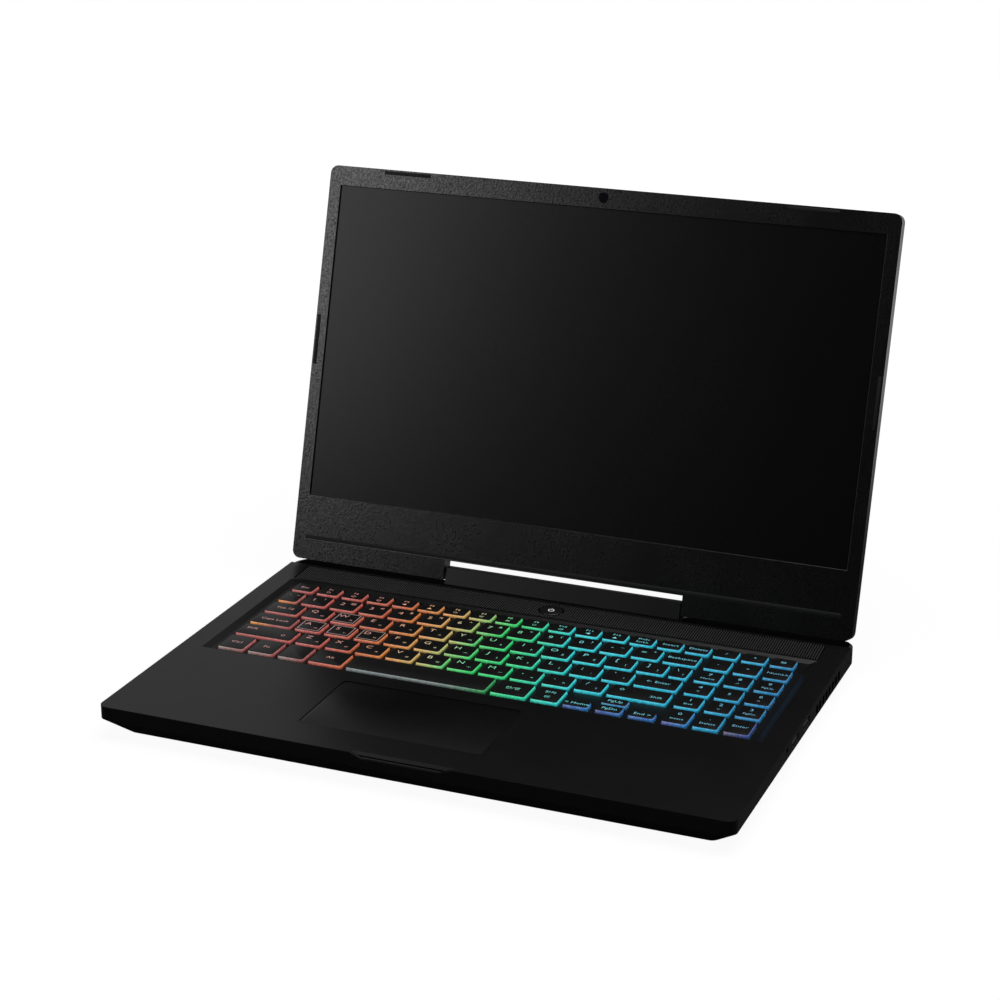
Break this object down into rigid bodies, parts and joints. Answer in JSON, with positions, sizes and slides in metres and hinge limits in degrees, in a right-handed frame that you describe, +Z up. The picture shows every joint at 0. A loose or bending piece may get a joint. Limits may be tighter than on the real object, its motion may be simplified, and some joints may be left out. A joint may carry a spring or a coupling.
{
  "type": "laptop computer",
  "caption": "Open clamshell laptop with a lit full-size keyboard, number pad, offset touchpad and a hinged screen between two legs that folds flat on the base.",
  "frame": {"origin": "on the desk, under the middle of the open laptop's bounding box", "axes": "+X to the user's right, +Y away from the user, +Z up"},
  "size_m": [0.36, 0.3118, 0.26],
  "materials": {
    "case_plastic": "fine satin texture",
    "bezel_plastic": "sandy matte texture",
    "grille_plastic": "diagonal hatch",
    "key_plastic": "soft matte, light shows at the edges",
    "button_plastic": "smooth",
    "touchpad_surface": "smooth satin",
    "screen_glass": "dark, semi-gloss",
    "lens_glass": "gloss",
    "rubber": "matte",
    "keyboard_metal": "matte paint",
    "light_guide": "frosted",
    "steel": "plain",
    "socket_plastic": "plain",
    "circuit_board": "solder mask",
    "chip_package": "plain",
    "copper": "plain copper",
    "aluminium_fins": "plain",
    "fan_plastic": "plain",
    "battery_wrap": "plain",
    "speaker_plastic": "plain"
  },
  "bodies": {
    "base": {"audio_socket": "socket_plastic", "battery": "battery_wrap", "bottom_case": "case_plastic", "bottom_screws": "steel", "fan_housing_left": "fan_plastic", "fan_housing_right": "fan_plastic", "fin_stack_left": "aluminium_fins", "fin_stack_right": "aluminium_fins", "graphics_chip": "chip_package", "heat_pipes": "copper", "hinge_bracket_left": "steel", "hinge_bracket_right": "steel", "hinge_cover": "case_plastic", "keyboard_frame": "keyboard_metal", "keyboard_light_guide": "light_guide", "memory_modules": "circuit_board", "motherboard": "circuit_board", "network_socket": "socket_plastic", "power_inlet": "socket_plastic", "processor": "chip_package", "rear_grille": "grille_plastic", "rubber_feet": "rubber", "solid_state_drive": "circuit_board", "speaker_left": "speaker_plastic", "speaker_right": "speaker_plastic", "top_case": "case_plastic", "touchpad_bracket": "steel", "usb_c_socket": "steel", "usb_sockets": "steel", "video_socket": "steel", "wireless_card": "circuit_board"},
    "lid": {"lid_back_cover": "case_plastic", "lid_bezel": "bezel_plastic", "display_panel": "screen_glass", "lid_bumpers": "rubber", "lid_rubber_strip": "rubber", "camera_board": "circuit_board", "camera_lens": "lens_glass", "hinge_arm_left": "steel", "hinge_arm_right": "steel"},
    "fan_rotor_left": {"fan_rotor_left": "fan_plastic"},
    "fan_rotor_right": {"fan_rotor_right": "fan_plastic"},
    "touchpad": {"touchpad": "touchpad_surface"},
    "power_button": {"power_button": "button_plastic"},
    "function_row_keys": {"function_row_keys": "key_plastic"},
    "number_row_keys": {"number_row_keys": "key_plastic"},
    "backspace_key": {"backspace_key": "key_plastic"},
    "tab_key": {"tab_key": "key_plastic"},
    "upper_letter_keys": {"upper_letter_keys": "key_plastic"},
    "caps_lock_key": {"caps_lock_key": "key_plastic"},
    "home_letter_keys": {"home_letter_keys": "key_plastic"},
    "enter_key": {"enter_key": "key_plastic"},
    "left_shift_key": {"left_shift_key": "key_plastic"},
    "lower_letter_keys": {"lower_letter_keys": "key_plastic"},
    "right_shift_key": {"right_shift_key": "key_plastic"},
    "modifier_keys": {"modifier_keys": "key_plastic"},
    "space_bar": {"space_bar": "key_plastic"},
    "arrow_keys": {"arrow_keys": "key_plastic"},
    "number_pad_keys": {"number_pad_keys": "key_plastic"}
  },
  "joints": [
    {"name": "lid_hinge", "type": "hinge", "parent": "base", "child": "lid", "pos_m": [0, 0.08535, 0.0264], "axis": [1, 0, 0], "range_deg": [-30, 106.2]},
    {"name": "touchpad_press", "type": "hinge", "parent": "base", "child": "touchpad", "pos_m": [-0.017, -0.07495, 0.01895], "axis": [1, 0, 0], "range_deg": [0, 0.5], "stiffness_Nm_per_rad": 9.5},
    {"name": "power_button_press", "type": "slide", "parent": "base", "child": "power_button", "axis": [0, 0, -1], "range_m": [0, 0.0006], "stiffness_N_per_m": 2500},
    {"name": "fan_spin_left", "type": "hinge", "parent": "base", "child": "fan_rotor_left", "pos_m": [-0.125, 0.02805, 0.0077], "axis": [0, 0, 1], "continuous": true},
    {"name": "fan_spin_right", "type": "hinge", "parent": "base", "child": "fan_rotor_right", "pos_m": [0.125, 0.02805, 0.0077], "axis": [0, 0, 1], "continuous": true},
    {"name": "function_row_keys_press", "type": "slide", "parent": "base", "child": "function_row_keys", "axis": [0, 0, -1], "range_m": [0, 0.0015], "stiffness_N_per_m": 600},
    {"name": "number_row_keys_press", "type": "slide", "parent": "base", "child": "number_row_keys", "axis": [0, 0, -1], "range_m": [0, 0.0015], "stiffness_N_per_m": 600},
    {"name": "backspace_key_press", "type": "slide", "parent": "base", "child": "backspace_key", "axis": [0, 0, -1], "range_m": [0, 0.0015], "stiffness_N_per_m": 600},
    {"name": "tab_key_press", "type": "slide", "parent": "base", "child": "tab_key", "axis": [0, 0, -1], "range_m": [0, 0.0015], "stiffness_N_per_m": 600},
    {"name": "upper_letter_keys_press", "type": "slide", "parent": "base", "child": "upper_letter_keys", "axis": [0, 0, -1], "range_m": [0, 0.0015], "stiffness_N_per_m": 600},
    {"name": "caps_lock_key_press", "type": "slide", "parent": "base", "child": "caps_lock_key", "axis": [0, 0, -1], "range_m": [0, 0.0015], "stiffness_N_per_m": 600},
    {"name": "home_letter_keys_press", "type": "slide", "parent": "base", "child": "home_letter_keys", "axis": [0, 0, -1], "range_m": [0, 0.0015], "stiffness_N_per_m": 600},
    {"name": "enter_key_press", "type": "slide", "parent": "base", "child": "enter_key", "axis": [0, 0, -1], "range_m": [0, 0.0015], "stiffness_N_per_m": 600},
    {"name": "left_shift_key_press", "type": "slide", "parent": "base", "child": "left_shift_key", "axis": [0, 0, -1], "range_m": [0, 0.0015], "stiffness_N_per_m": 600},
    {"name": "lower_letter_keys_press", "type": "slide", "parent": "base", "child": "lower_letter_keys", "axis": [0, 0, -1], "range_m": [0, 0.0015], "stiffness_N_per_m": 600},
    {"name": "right_shift_key_press", "type": "slide", "parent": "base", "child": "right_shift_key", "axis": [0, 0, -1], "range_m": [0, 0.0015], "stiffness_N_per_m": 600},
    {"name": "modifier_keys_press", "type": "slide", "parent": "base", "child": "modifier_keys", "axis": [0, 0, -1], "range_m": [0, 0.0015], "stiffness_N_per_m": 600},
    {"name": "space_bar_press", "type": "slide", "parent": "base", "child": "space_bar", "axis": [0, 0, -1], "range_m": [0, 0.0015], "stiffness_N_per_m": 600},
    {"name": "arrow_keys_press", "type": "slide", "parent": "base", "child": "arrow_keys", "axis": [0, 0, -1], "range_m": [0, 0.0015], "stiffness_N_per_m": 600},
    {"name": "number_pad_keys_press", "type": "slide", "parent": "base", "child": "number_pad_keys", "axis": [0, 0, -1], "range_m": [0, 0.0015], "stiffness_N_per_m": 600}
  ]
}
